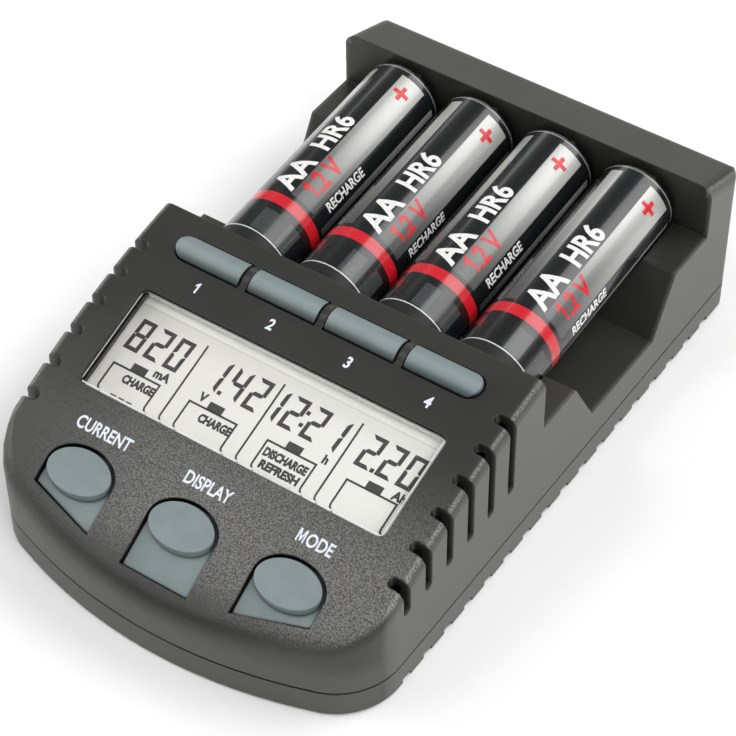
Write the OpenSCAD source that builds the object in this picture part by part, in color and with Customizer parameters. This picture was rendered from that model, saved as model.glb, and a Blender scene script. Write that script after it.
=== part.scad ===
// Four-bay charger for AA cells, with a display, three function keys and four slot keys.
// X runs across the charger, Y from the bowed front to the rear wall, Z up from the table.

/* [Casing] */
// Overall width across the side walls
body_w = 75; // [73:0.5:80]
// Overall length from the bowed front to the rear wall
body_l = 121.9; // [120.9:0.1:126]
// Height of the seam between the two casings
seam_z = 5.6; // [5:0.1:6.4]
// Shadow gap at the seam
seam_gap = 0.4; // [0.2:0.1:0.6]
// Wall thickness of both casings
wall = 2; // [1.6:0.1:2.2]
// Radius of the bowed front in plan
front_r = 86; // [75:1:110]
// Radius of the front corners in plan
corner_r = 12; // [9:0.5:14]
// Radius of the rear corners in plan
rear_r = 3.5; // [3:0.5:5]
// Rolled edge above the bowed front
roll_r = 4; // [2:0.5:5]
// Rolled edge along the sides of the panel
edge_r = 1.9; // [0.8:0.1:2]

/* [Panel] */
// Radius of the panel's curve from front to rear
panel_r = 138; // [125:1:170]
// Distance from the front to the display's middle
display_from_front = 32.1; // [31:0.1:33.4]
// Height of the panel at the display's middle
display_z = 28.2; // [27:0.1:30]
// Slope of the panel at the display's middle
display_tilt = 18.6; // [16:0.1:21]
// Distance from the front to the rear edge of the panel
panel_len = 57.3; // [56.4:0.1:59]

/* [Bay] */
// Clear length between the panel and the rear block
bay_l = 53.2; // [53:0.1:55]
// Height of the two ledges
ledge_z = 23.3; // [22:0.1:25]
// Length of the ledge behind the panel
front_ledge = 10; // [9:0.5:12]
// Length of the ledge before the rear block
rear_ledge = 10.8; // [9:0.2:12]
// Height of the low floor between the ledges
floor_z = 12.3; // [11.5:0.1:13]
// Run of the ramp from a ledge to the low floor
ramp_run = 6.2; // [5:0.2:8]
// Distance between neighbouring cells
bay_pitch = 16; // [15.6:0.1:16.8]
// Room around a cell in its trough
trough_gap = 0.25; // [0.15:0.05:0.35]

/* [Rear block] */
// Height of the block's front edge
block_h = 34.3; // [33:0.1:36]
// Downward slope of the block's top to the rear
block_tilt = 18; // [14:0.5:26]
// Rolled edge along the block's sides
block_edge_r = 2.6; // [1.5:0.1:3.5]
// Rolled edge along the block's rear
block_rear_r = 1.6; // [1:0.1:3]

/* [Cells] */
// Diameter of an AA cell in its sleeve
cell_d = 14.4; // [14:0.1:14.5]
// Length of an AA cell over its positive button
cell_l = 50.5; // [49.5:0.1:50.8]
// Diameter of the positive button
button_d = 5.5; // [4.5:0.1:6]
// Height of the positive button
button_h = 1.3; // [1:0.1:1.8]
// Upward tilt of the cells to the rear
cell_tilt = 4.4; // [3:0.1:5]
// Height of the positive button's middle
button_z = 27; // [26:0.1:28]

/* [Contacts] */
// Width of a positive contact strip
contact_w = 5; // [4:0.1:6]
// Thickness of a contact strip
contact_t = 0.4; // [0.3:0.05:0.5]
// Depth of the contact pocket in the rear block
pocket_d = 1.05; // [0.9:0.05:1.2]
// Diameter of a sliding negative contact
slider_d = 12; // [10:0.5:13]
// Thickness of a sliding contact's disc
slider_t = 1; // [0.8:0.1:1.2]
// Travel of a sliding contact with a cell in place
slider_travel = 1.2; // [0.6:0.1:1.2]
// Width of the slot that guides a slider
slider_slot_w = 4.2; // [3.6:0.1:5]
// Outer diameter of a slider's spring
spring_d = 3.6; // [3:0.1:4]
// Wire diameter of a slider's spring
wire_d = 0.6; // [0.4:0.05:0.7]

/* [Display] */
// Strip of casing on each side of the window
window_side = 7.65; // [7.25:0.05:9.5]
// Length of the window along the slope
window_l = 19.3; // [17:0.1:19.6]
// Thickness of the glass cell of the display
lcd_t = 2.2; // [1.6:0.1:2.4]
// Depth of the display's face below the panel
lcd_depth = 3.6; // [3.5:0.1:3.9]
// Depth of the display board below the panel
board_depth = 8.2; // [8:0.1:8.6]
// Thickness of the display board
display_board_t = 1.2; // [1:0.1:1.6]

/* [Keys] */
// Distance from a side wall to the middle of the function key beside it
key_side = 17.1; // [16.5:0.1:18]
// Distance from the front to the middle of a key's oval
key_from_front = 11.2; // [10.8:0.1:11.8]
// Width of a function key's raised oval
oval_w = 11.8; // [10:0.1:12]
// Length of a function key's raised oval
oval_l = 7.7; // [6:0.1:8]
// Rise of the oval above the panel at its middle
oval_rise = 0.9; // [0.5:0.1:1.5]
// Depth of a function key's plate below the panel
plate_recess = 0.8; // [0.2:0.1:1]
// Half width of a function key's opening
key_half_w = 6.6; // [6.3:0.1:7]
// Height of the arch at the rear of the opening
key_arch = 4.5; // [4.3:0.1:6]
// Strip of casing between the front and the keys
key_front_margin = 3.1; // [2.6:0.1:3.5]
// Distance between neighbouring slot keys
slot_key_pitch = 15.3; // [14.5:0.1:16]
// Distance from the front to the slot keys' middle line
slot_key_from_front = 50.9; // [50.4:0.1:51.4]
// Width of a slot key's opening
slot_key_w = 5.2; // [4.6:0.1:5.4]
// Rise of a slot key above the panel
slot_key_rise = 1.2; // [0.6:0.1:1.6]
// Width of the rib between two slot keys
key_rib = 1.4; // [1:0.1:1.6]
// Travel of every key
key_travel = 0.6; // [0.3:0.1:0.6]
// Clearance between a key and its opening
key_gap = 0.3; // [0.2:0.05:0.4]

/* [Vents] */
// Number of slots in each side of the panel
vent_count = 6; // [4:1:6]
// Distance between neighbouring slots
vent_pitch = 5.9; // [5.6:0.1:6]
// Width of a slot
vent_w = 1.9; // [1.4:0.1:2.2]
// Reach of a slot into the panel from the side
vent_reach = 3.5; // [3:0.1:4]
// Height of a slot's lower end
vent_z = 17.7; // [16.5:0.1:19]
// Number of notches along each lower edge
notch_count = 17; // [10:1:17]
// Width of a notch
notch_w = 2.3; // [1.6:0.1:3]
// Height of a notch
notch_h = 0.9; // [0.6:0.1:1.2]

/* [Base and boards] */
// Height of the casing above the table
foot_stand = 0.6; // [0.4:0.1:1]
// Diameter of a rubber foot
foot_d = 8; // [6:0.5:10]
// Height of the main board's underside
main_board_z = 4.4; // [4.2:0.1:4.6]
// Thickness of the main board
main_board_t = 1.6; // [1.2:0.1:1.6]
// Diameter of a screw post
post_d = 5.5; // [5:0.1:5.8]
// Diameter of a case screw's shank
screw_d = 2.5; // [2.2:0.1:2.8]
// Diameter of a case screw's head
screw_head_d = 4.6; // [4.2:0.1:5]
// Bore of the power inlet
inlet_bore = 5.6; // [5.4:0.1:5.8]
// Diameter of the power inlet's centre pin
inlet_pin = 2.1; // [1.9:0.1:2.5]
// Height of the power inlet's axis
inlet_z = 10.8; // [10.6:0.1:11.4]

/* [Hidden] */
$fn = 64;

casing_color = "#3a3937";
key_color = "#87989a";
board_color = "#2f5b3a";
metal_color = "#c9c7bf";
chip_color = "#222224";

// Clearances shared by the pieces
fit = 0.05;
slack = 0.15;
running_gap = 0.3;
overcut = 1;
edge_over = 0.05;
far = 100;

// Places along the length
front_y = -body_l / 2;
rear_y = body_l / 2;
display_y = front_y + display_from_front;
bay_y0 = front_y + panel_len;
bay_y1 = bay_y0 + bay_l;

// Plan outline: a bowed front meets the straight sides in round corners
front_cy = front_y + front_r;
corner_x = body_w / 2 - corner_r;
corner_proud = 0.05;
corner_y = front_cy - sqrt(pow(front_r - corner_r, 2) - pow(corner_x, 2)) - corner_proud;

// Axis of the panel's curve
arc_cy = display_y + panel_r * sin(display_tilt);
arc_cz = display_z - panel_r * cos(display_tilt);

// Heights of the base
base_z = foot_stand;
floor_top = base_z + wall;
board_top = main_board_z + main_board_t;
lip_h = 2;
lip_t = 1.2;

// Screw posts stand in the front corners and in the rear block
post_inset = wall + slack + lip_t + post_d / 2 + 0.6;
post_x = body_w / 2 - post_inset;
post_front_y = corner_y - 1;
post_rear_y = rear_y - post_inset;
screw_head_h = 1.4;
screw_len = 9;
screw_seat_z = base_z + screw_head_h + 0.2;

// Feet, pads and openings of the base
foot_sink = 1;
foot_x = post_x - 3;
pad_d = 5;
pad_x = 26;
notch_from_rear = 9.1;
notch_depth = 1.2;
floor_vent_count = 4;
floor_vent_x = 12;
floor_vent_l = 14;

// Bosses of the display board, in the panel's own plane
boss_d = 3.8;
boss_x = body_w / 2 - 5.6;
boss_v = window_l / 2 + 4.4;
small_screw_d = 1.6;
small_screw_head_d = 3;
small_screw_head_h = 1;
small_screw_len = 5;

// Outline of the display board in the panel's plane
board_half_w = boss_x + boss_d / 2 - 0.3;
board_neck_half_w = 25.5;
board_front_v = -29;
board_rear_v = 20.5;

// Layers of the display, measured down from the panel
window_w = body_w - 2 * window_side;
window_corner_r = 1.4;
window_recess = 0.9;
window_flange = 1.35;
window_flange_t = 0.9;
window_seat = lcd_depth - fit;
frame_wall = 1.2;
lcd_margin = 0.75;
lcd_w = window_w + 2 * lcd_margin;
lcd_l = window_l + 2 * lcd_margin;
frame_w = lcd_w + 2 * (slack + frame_wall);
frame_l = lcd_l + 2 * (slack + frame_wall);
strip_w = 2;
reflector_t = 1;

// Depths of the keys and their switches
key_floor = 5.6;
switch_side = 4.4;
switch_h = board_depth - key_floor - key_travel - running_gap;
plunger_d = 2.2;
plunger_h = 0.5;
flange_reach = 1;
slot_flange_depth = 4.6;
slot_stem_d = 2.4;
key_pitch = body_w / 2 - key_side;
oval_v = panel_v(front_y + key_from_front);
oval_top_r = 40;
slot_key_v = panel_v(front_y + slot_key_from_front);
slot_switch_v = slot_key_v - 1.5;
slot_row_w = 4 * slot_key_pitch - key_rib;
slot_row_r = slot_key_w / 2 - fit;
slot_key_bow = slot_key_w / 2 - key_gap;
slot_key_bow_r = (pow(slot_key_bow, 2) + pow(slot_key_rise, 2)) / (2 * slot_key_rise);

// Cells and contacts
cell_r = cell_d / 2;
trough_r = cell_r + trough_gap;
plate_y = bay_y1 + pocket_d - fit - contact_t;
tip_y = plate_y - fit - button_d / 2 * sin(cell_tilt);
negative_y = tip_y - cell_l * cos(cell_tilt);
negative_z = button_z - cell_l * sin(cell_tilt);
contact_top = button_z + 4.5;
dome_h = 0.45;
dome_d = 5;
slider_face = negative_y - slack - dome_h - 0.05;
slider_foot_z = 8.6;
slider_foot_h = 3.2;
slider_foot_l = 5;
slider_stem_w = slider_slot_w - 2 * running_gap;
spring_z = slider_foot_z + slider_foot_h / 2;
spring_turns = 7;
spring_rest_gap = 4;
spring_len = spring_turns * wire_d + slider_travel + spring_rest_gap;
stop_y = slider_face - slider_t - spring_len;
stop_t = 2;
stop_h = spring_z + spring_d / 2 + 1;

// Main board and what stands on it
main_front = stop_y + running_gap;
main_half_w = body_w / 2 - wall - lip_t - 1;
main_neck_y = post_rear_y - post_d / 2 - 1.2;
main_neck_half_w = post_x - post_d / 2 - 1;
main_rear = rear_y - wall - slack - lip_t - 0.4;
link_w = 7;
link_t = 0.4;
link_y = bay_y0 - wall - 2.6;
chip_side = 11;
chip_h = 1.5;
transistor_w = 5;
transistor_l = 6;
transistor_h = 1.6;
coil_d = 8;
coil_h = floor_z - wall - board_top - 0.8;
capacitor_d = 4.4;
capacitor_h = 11;
capacitor_y = main_rear - capacitor_d / 2 - fit;
sensor_d = 2.4;
sensor_h = 2.2;
inlet_w = 9;
inlet_l = 11;
inlet_collar_d = 8;
inlet_bore_l = 9.5;

// Places in the panel's plane
function panel_z(y, inset = 0) = arc_cz + sqrt(pow(panel_r - inset, 2) - pow(y - arc_cy, 2));
function panel_v(y) =
    (y - display_y) * cos(display_tilt) + (panel_z(y) - display_z) * sin(display_tilt);
function panel_w(v) = sqrt(pow(panel_r, 2) - pow(v, 2)) - panel_r;
function bay_x(i) = (i - 2.5) * bay_pitch;
function slot_key_x(i) = (i - 2.5) * slot_key_pitch;
function front_edge_y(x) = front_cy - sqrt(pow(front_r, 2) - pow(x, 2));

// Moves its children into the panel's plane: v along the slope, w out of the panel
module on_panel(x = 0, v = 0, w = 0) {
    translate([0, display_y, display_z])
        rotate([display_tilt, 0, 0])
            translate([x, v, w])
                children();
}

// Moves its children to a cell's axis, from its positive tip towards the panel
module on_cell(i) {
    translate([bay_x(i), tip_y, button_z])
        rotate([90 + cell_tilt, 0, 0])
            children();
}

// Extrudes an outline drawn in Y and Z across the width
module across(width) {
    rotate([90, 0, 90])
        linear_extrude(width, center = true)
            children();
}

module rounded_rect(w, l, r) {
    square([w - 2 * r, l], center = true);
    square([w, l - 2 * r], center = true);
    for (sx = [-1, 1], sy = [-1, 1])
        translate([sx * (w / 2 - r), sy * (l / 2 - r)])
            circle(r);
}

// Outline of the casing seen from above, moved inwards by inset
module plan(inset = 0) {
    half_w = body_w / 2 - inset;
    bow_half_w = corner_x * (front_r - inset) / (front_r - corner_r);
    back = rear_y - inset;
    back_r = max(rear_r - inset, 0.4);
    intersection() {
        translate([0, front_cy])
            circle(front_r - inset, $fn = 128);
        translate([-bow_half_w, front_y])
            square([2 * bow_half_w, corner_y - front_y + 2 * corner_r]);
    }
    for (side = [-1, 1]) {
        translate([side * corner_x, corner_y])
            circle(corner_r - inset);
        translate([side * (half_w - back_r), back - back_r])
            circle(back_r);
    }
    translate([-half_w, corner_y])
        square([2 * half_w, back - back_r - corner_y]);
    translate([-(half_w - back_r), corner_y])
        square([2 * (half_w - back_r), back - corner_y]);
}

// Barrel whose upper side is the curved panel
module barrel(inset = 0, round_r = 0) {
    half_w = body_w / 2 + edge_over;
    r = panel_r - inset;
    on_panel(0, 0, -panel_r)
        rotate([0, 90, 0])
            rotate_extrude($fn = 256)
                if (round_r > 0) {
                    translate([0, -(half_w - round_r)])
                        square([r, 2 * (half_w - round_r)]);
                    translate([0, -half_w])
                        square([r - round_r, 2 * half_w]);
                    for (side = [-1, 1])
                        translate([r - round_r, side * (half_w - round_r)])
                            circle(round_r);
                } else {
                    translate([0, -half_w])
                        square([r, 2 * half_w]);
                }
}

// Side view of the open bay: two ledges with a low floor between them
module bay_outline(inset = 0) {
    lean = inset * tan(atan2(ledge_z - floor_z, ramp_run) / 2);
    upper = ledge_z - inset;
    lower = floor_z - inset;
    polygon([
        [bay_y0 - inset, far],
        [bay_y0 - inset, upper],
        [bay_y0 + front_ledge - lean, upper],
        [bay_y0 + front_ledge + ramp_run - lean, lower],
        [bay_y1 - rear_ledge - ramp_run + lean, lower],
        [bay_y1 - rear_ledge + lean, upper],
        [bay_y1 + inset, upper],
        [bay_y1 + inset, far]
    ]);
}

// Top of the rear block, sloping down to the rear with rolled sides
module block_top(inset = 0) {
    half_w = body_w / 2 + edge_over - inset;
    r = max(block_edge_r - inset, 0.5);
    depth = block_h;
    translate([0, bay_y1, block_h])
        rotate([-block_tilt, 0, 0])
            translate([0, far / 2, -inset])
                rotate([90, 0, 0])
                    linear_extrude(far) {
                        translate([-half_w, -depth])
                            square([2 * half_w, depth - r]);
                        translate([-(half_w - r), -depth])
                            square([2 * (half_w - r), depth]);
                        for (side = [-1, 1])
                            translate([side * (half_w - r), -r])
                                circle(r);
                    }
}

// Corner of the block that its rolled rear edge takes away
module block_rear_corner() {
    edge_z = block_h - (rear_y - bay_y1) * tan(block_tilt);
    half_angle = (90 + block_tilt) / 2;
    reach = block_rear_r / tan(half_angle);
    middle = [rear_y - block_rear_r, edge_z - reach];
    across(body_w + 2 * overcut)
        difference() {
            polygon([
                [rear_y + overcut, edge_z + overcut],
                [rear_y - reach * cos(block_tilt), edge_z + overcut],
                [rear_y - reach * cos(block_tilt), edge_z + reach * sin(block_tilt)],
                middle,
                [rear_y, edge_z - reach],
                [rear_y + overcut, edge_z - reach]
            ]);
            translate(middle)
                circle(block_rear_r);
        }
}

// Points of the rolled front edge, as [angle in plan, rolled radius]
bow_angle = asin(corner_x / (front_r - corner_r));
roll_steps = 5;
cap_spread = 1.1;

module roll_ball(x, y, r) {
    translate([x, y, panel_z(y, r)])
        sphere(r, $fn = 40);
}

// Soft cap that rolls the panel over into the bowed front and its corners
module front_cap() {
    tangent = tan(asin((arc_cy - front_y) / panel_r));
    hull() {
        for (side = [-1, 1], k = [0 : roll_steps]) {
            bow = bow_angle * k / roll_steps;
            turn = bow_angle + (90 - bow_angle) * k / roll_steps;
            r = roll_r + (edge_r - roll_r) * k / roll_steps;
            roll_ball(
                side * (front_r - roll_r) * sin(bow),
                front_cy - (front_r - roll_r) * cos(bow),
                roll_r
            );
            roll_ball(
                side * (corner_x + (corner_r - r) * sin(turn)),
                corner_y - (corner_r - r) * cos(turn),
                r
            );
        }
        translate([-body_w, front_y + 2 * far, panel_z(front_y) + 2 * far * tangent])
            cube([2 * body_w, overcut, overcut]);
        translate([0, 0, -2 * far])
            linear_extrude(overcut)
                scale(cap_spread)
                    plan();
    }
}

// Closed form of the upper casing, moved inwards by inset
module casing_form(inset = 0, bottom = 0) {
    difference() {
        union() {
            intersection() {
                translate([0, 0, bottom])
                    linear_extrude(far)
                        plan(inset);
                barrel(inset, inset > 0 ? 0 : edge_r);
            }
            intersection() {
                translate([0, 0, bottom])
                    linear_extrude(far)
                        plan(inset);
                block_top(inset);
                translate([-body_w, bay_y1 + inset, 0])
                    cube([2 * body_w, far, far]);
            }
        }
        across(body_w + 2 * overcut)
            bay_outline(inset);
    }
}

module bay_limits(inset = 0) {
    translate([-body_w, bay_y0 - inset, 0])
        cube([2 * body_w, bay_l + 2 * inset, far]);
}

// Round troughs that carry the ends of the cells
module troughs(r, inset = 0) {
    intersection() {
        for (i = [1 : 4])
            on_cell(i)
                translate([0, 0, -cell_r])
                    cylinder(r = r, h = cell_l + 2 * cell_r);
        bay_limits(inset);
    }
}

module posts_inside() {
    for (side = [-1, 1], y = [post_front_y, post_rear_y])
        translate([side * post_x, y, seam_z])
            cylinder(d = post_d, h = far);
    for (x = [-boss_x, boss_x], v = [-boss_v, boss_v])
        on_panel(x, v, -board_depth)
            cylinder(d = boss_d, h = board_depth);
}

module post_bores() {
    for (side = [-1, 1], y = [post_front_y, post_rear_y])
        translate([side * post_x, y, seam_z - overcut])
            cylinder(d = screw_d + 2 * fit, h = screw_len);
    for (x = [-boss_x, boss_x], v = [-boss_v, boss_v])
        on_panel(x, v, -board_depth - overcut)
            cylinder(d = small_screw_d + 2 * fit, h = small_screw_len + fit);
}

// Outline of a function key: an arch to the rear, cut off along the bowed front
module key_outline(place, grow = 0) {
    x = place * key_pitch;
    inner_x = abs(x) - key_half_w;
    outer_x = abs(x) + key_half_w;
    inner_v = panel_v(front_edge_y(place == 0 ? 0 : inner_x) + key_front_margin);
    outer_v = panel_v(front_edge_y(place == 0 ? 0 : outer_x) + key_front_margin);
    half_w = key_half_w + grow;
    mirror([place < 0 ? 1 : 0, 0])
        translate([abs(x), oval_v]) {
            scale([1, (key_arch + grow) / half_w])
                circle(half_w);
            polygon([
                [-half_w, 0],
                [-half_w, inner_v - oval_v - grow],
                [half_w, outer_v - oval_v - grow],
                [half_w, 0]
            ]);
        }
}

// Outline of a slot key: its share of a row with round ends
module slot_key_outline(i, gap = 0) {
    intersection() {
        rounded_rect(slot_row_w - 2 * gap, slot_key_w - 2 * gap, slot_row_r - gap);
        translate([slot_key_x(i), 0])
            square([slot_key_pitch - key_rib - 2 * gap, 2 * slot_key_w], center = true);
    }
}

module key_openings() {
    for (place = [-1, 0, 1])
        on_panel(0, 0, -board_depth)
            linear_extrude(2 * board_depth)
                key_outline(place);
    for (i = [1 : 4])
        on_panel(0, slot_key_v, -slot_flange_depth)
            linear_extrude(2 * board_depth)
                slot_key_outline(i);
}

// Half-round ribs of the casing between the slot keys
module key_ribs() {
    for (i = [1 : 3])
        on_panel(slot_key_x(i) + slot_key_pitch / 2, slot_key_v, panel_w(slot_key_v))
            translate([0, 0, slot_key_rise - slot_key_bow_r - running_gap])
                rotate([0, 90, 0])
                    cylinder(r = slot_key_bow_r, h = key_rib, center = true);
}

module window_opening() {
    on_panel(0, 0, -lcd_depth)
        linear_extrude(2 * lcd_depth)
            rounded_rect(window_w, window_l, window_corner_r);
}

// Slots that run from the panel over its edge and down the side walls
module vents() {
    first_y = display_y + window_l / 2 * cos(display_tilt) + 6.6;
    for (side = [-1, 1], i = [0 : vent_count - 1])
        translate([side * (body_w / 2 - vent_reach), first_y - i * vent_pitch, 0])
            mirror([side < 0 ? 1 : 0, 0, 0]) {
                translate([vent_w / 2, 0, vent_z])
                    cylinder(d = vent_w, h = far);
                translate([vent_w / 2, -vent_w / 2, vent_z])
                    cube([vent_reach, vent_w, far]);
                translate([vent_w / 2, 0, vent_z])
                    rotate([0, 90, 0])
                        cylinder(d = vent_w, h = vent_reach);
            }
}

// Slots of the sliders, pockets of the contacts and the hole of the inlet
module contact_openings() {
    for (i = [1 : 4]) {
        translate([bay_x(i) - slider_slot_w / 2, bay_y0, floor_top])
            cube([slider_slot_w, front_ledge, negative_z - floor_top]);
        translate([bay_x(i) - contact_w / 2 - slack, bay_y1 - overcut, seam_z + overcut])
            cube([contact_w + 2 * slack, pocket_d + overcut, contact_top + slack - seam_z - overcut]);
    }
    translate([0, rear_y + overcut, inlet_z])
        rotate([90, 0, 0])
            cylinder(d = inlet_collar_d + 2 * slack, h = wall + 2 * overcut);
}

module upper_casing() {
    color(casing_color)
        difference() {
            union() {
                difference() {
                    intersection() {
                        casing_form(0, seam_z + seam_gap / 2);
                        front_cap();
                    }
                    difference() {
                        casing_form(wall, 0);
                        troughs(trough_r + wall, wall);
                    }
                    troughs(trough_r);
                    block_rear_corner();
                }
                intersection() {
                    posts_inside();
                    casing_form(wall / 2, 0);
                }
            }
            post_bores();
            key_openings();
            window_opening();
            vents();
            contact_openings();
        }
    color(casing_color)
        intersection() {
            key_ribs();
            on_panel(0, slot_key_v, panel_w(slot_key_v) - wall)
                translate([-body_w / 2, -slot_key_w / 2, 0])
                    cube([body_w, slot_key_w, 2 * wall]);
        }
}

// Lower casing: a tray with a lip that locates the upper casing
module lower_casing() {
    lip_inset = wall + slack;
    color(casing_color)
        difference() {
            union() {
                difference() {
                    union() {
                        translate([0, 0, base_z])
                            linear_extrude(seam_z - seam_gap / 2 - base_z)
                                plan();
                        translate([0, 0, base_z])
                            linear_extrude(seam_z + lip_h - base_z)
                                plan(lip_inset);
                    }
                    translate([0, 0, floor_top])
                        linear_extrude(far)
                            plan(lip_inset + lip_t);
                }
                base_bosses();
            }
            case_screw_holes();
            foot_recesses();
            base_notches();
            floor_vents();
            translate([-inlet_w / 2 - running_gap, main_rear, seam_z])
                cube([inlet_w + 2 * running_gap, wall + lip_t, far]);
        }
}

// Bosses of the case screws, pads of the main board and the stop of the springs
module base_bosses() {
    for (side = [-1, 1], y = [post_front_y, post_rear_y])
        translate([side * post_x, y, base_z])
            cylinder(d = post_d, h = seam_z - base_z);
    for (x = [-pad_x, pad_x], y = [main_front + pad_d, main_neck_y - pad_d])
        translate([x, y, base_z])
            cylinder(d = pad_d, h = main_board_z - base_z);
    translate([-main_half_w, stop_y - stop_t, base_z])
        cube([2 * main_half_w, stop_t, stop_h - base_z]);
}

module case_screw_holes() {
    for (side = [-1, 1], y = [post_front_y, post_rear_y])
        translate([side * post_x, y, base_z - overcut]) {
            cylinder(d = screw_d + 2 * slack, h = far);
            cylinder(d = screw_head_d + 2 * slack, h = screw_seat_z - base_z + overcut);
        }
}

module foot_places() {
    for (x = [-foot_x, foot_x], y = [post_front_y + foot_d, post_rear_y - foot_d])
        translate([x, y, 0])
            children();
}

module foot_recesses() {
    foot_places()
        cylinder(d = foot_d + 2 * fit, h = base_z + foot_sink);
}

module base_notches() {
    for (side = [-1, 1], i = [0 : notch_count - 1])
        translate([side * body_w / 2, rear_y - notch_from_rear - i * vent_pitch, base_z])
            cube([2 * notch_depth, notch_w, 2 * notch_h], center = true);
}

module floor_vents() {
    for (side = [-1, 1], i = [0 : floor_vent_count - 1])
        translate([side * floor_vent_x, post_front_y + 2 + i * vent_pitch, 0])
            linear_extrude(floor_top + overcut)
                rounded_rect(floor_vent_l, vent_w, vent_w / 2 - fit);
}

module display_window() {
    color("#dfe6e4", 0.35)
        on_panel(0, 0, -window_seat) {
            linear_extrude(window_seat - window_recess)
                rounded_rect(window_w - 2 * slack, window_l - 2 * slack, window_corner_r - slack);
            linear_extrude(window_flange_t)
                rounded_rect(window_w + 2 * window_flange, window_l + 2 * window_flange, 1);
        }
}

module lcd_panel() {
    color("#d9dbd3")
        on_panel(0, 0, -lcd_depth - lcd_t)
            translate([-lcd_w / 2, -lcd_l / 2, 0])
                cube([lcd_w, lcd_l, lcd_t]);
}

module lcd_reflector() {
    reflector_w = lcd_w - 6;
    reflector_l = lcd_l - 4 * strip_w;
    color("#f0f0ea")
        on_panel(0, 0, -lcd_depth - lcd_t - reflector_t)
            translate([-reflector_w / 2, -reflector_l / 2, 0])
                cube([reflector_w, reflector_l, reflector_t]);
}

module lcd_frame() {
    frame_h = board_depth - lcd_depth;
    color("#e2e2dc")
        on_panel(0, 0, -board_depth)
            linear_extrude(frame_h)
                difference() {
                    square([frame_w, frame_l], center = true);
                    square([lcd_w + 2 * slack, lcd_l + 2 * slack], center = true);
                }
}

module contact_strips() {
    strip_l = lcd_w - 4;
    strip_h = board_depth - lcd_depth - lcd_t;
    color("#b58fa0")
        for (side = [-1, 1])
            on_panel(0, side * (lcd_l / 2 - strip_w), -board_depth)
                translate([-strip_l / 2, -strip_w / 2, 0])
                    cube([strip_l, strip_w, strip_h]);
}

// Display board, narrow between the front posts and wide at the display
module display_board() {
    color(board_color)
        on_panel(0, 0, -board_depth - display_board_t)
            linear_extrude(display_board_t)
                difference() {
                    union() {
                        translate([-board_half_w, -boss_v - boss_d / 2])
                            square([2 * board_half_w, board_rear_v + boss_v + boss_d / 2]);
                        translate([-board_neck_half_w, board_front_v])
                            square([2 * board_neck_half_w, board_rear_v - board_front_v]);
                    }
                    for (x = [-boss_x, boss_x], v = [-boss_v, boss_v])
                        translate([x, v])
                            circle(d = small_screw_d + 2 * slack);
                }
}

module display_board_screws() {
    color(metal_color)
        for (x = [-boss_x, boss_x], v = [-boss_v, boss_v])
            on_panel(x, v, -board_depth - display_board_t) {
                translate([0, 0, -small_screw_head_h])
                    cylinder(d = small_screw_head_d, h = small_screw_head_h);
                cylinder(d = small_screw_d, h = small_screw_len);
            }
}

module tact_switch() {
    body_h = switch_h - plunger_h;
    translate([-switch_side / 2, -switch_side / 2, 0])
        cube([switch_side, switch_side, body_h]);
    cylinder(d = plunger_d, h = switch_h);
}

module key_switches() {
    color(chip_color) {
        for (place = [-1, 0, 1])
            on_panel(place * key_pitch, oval_v, -board_depth)
                tact_switch();
        for (i = [1 : 4])
            on_panel(slot_key_x(i), slot_switch_v, -board_depth)
                tact_switch();
    }
}

// Function key: a plate that follows the panel, a raised oval and a hidden flange
module function_key(place) {
    x = place * key_pitch;
    color(key_color) {
        intersection() {
            on_panel(0, 0, -key_floor)
                linear_extrude(board_depth)
                    key_outline(place, -key_gap);
            barrel(plate_recess);
        }
        intersection() {
            on_panel(x, oval_v, -key_floor)
                linear_extrude(board_depth)
                    scale([1, oval_l / oval_w])
                        circle(d = oval_w);
            on_panel(x, oval_v, panel_w(oval_v) + oval_rise - oval_top_r)
                sphere(oval_top_r);
        }
        intersection() {
            on_panel(x, oval_v, -key_floor)
                cylinder(r = key_half_w + flange_reach, h = board_depth);
            on_panel(x, oval_v, -key_floor)
                translate([-body_w / 2, -key_half_w / 2, 0])
                    cube([body_w, body_w, board_depth]);
            barrel(wall + running_gap);
        }
    }
}

module current_key() {
    function_key(-1);
}

module display_key() {
    function_key(0);
}

module mode_key() {
    function_key(1);
}

// Slot key: a half-round bar with a flange under the panel and a stem on its switch
module slot_key(i) {
    length = slot_key_pitch - key_rib;
    surface = panel_w(slot_key_v);
    color(key_color) {
        intersection() {
            on_panel(0, slot_key_v, -slot_flange_depth)
                linear_extrude(board_depth)
                    slot_key_outline(i, key_gap);
            on_panel(slot_key_x(i), slot_key_v, surface + slot_key_rise - slot_key_bow_r) {
                rotate([0, 90, 0])
                    cylinder(r = slot_key_bow_r, h = length, center = true);
                translate([-length / 2, -slot_key_w, -board_depth])
                    cube([length, 2 * slot_key_w, board_depth]);
            }
        }
        intersection() {
            on_panel(slot_key_x(i), slot_key_v, -slot_flange_depth)
                translate([-length / 2, -slot_key_w / 2 - flange_reach, 0])
                    cube([length, slot_key_w + flange_reach + running_gap, board_depth]);
            barrel(wall + running_gap);
        }
        on_panel(slot_key_x(i), slot_switch_v, -key_floor)
            cylinder(d = slot_stem_d, h = board_depth - key_floor);
    }
}

module positive_contact(i) {
    color(metal_color)
        translate([bay_x(i) - contact_w / 2, plate_y, board_top])
            cube([contact_w, contact_t, contact_top - board_top]);
}

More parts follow.
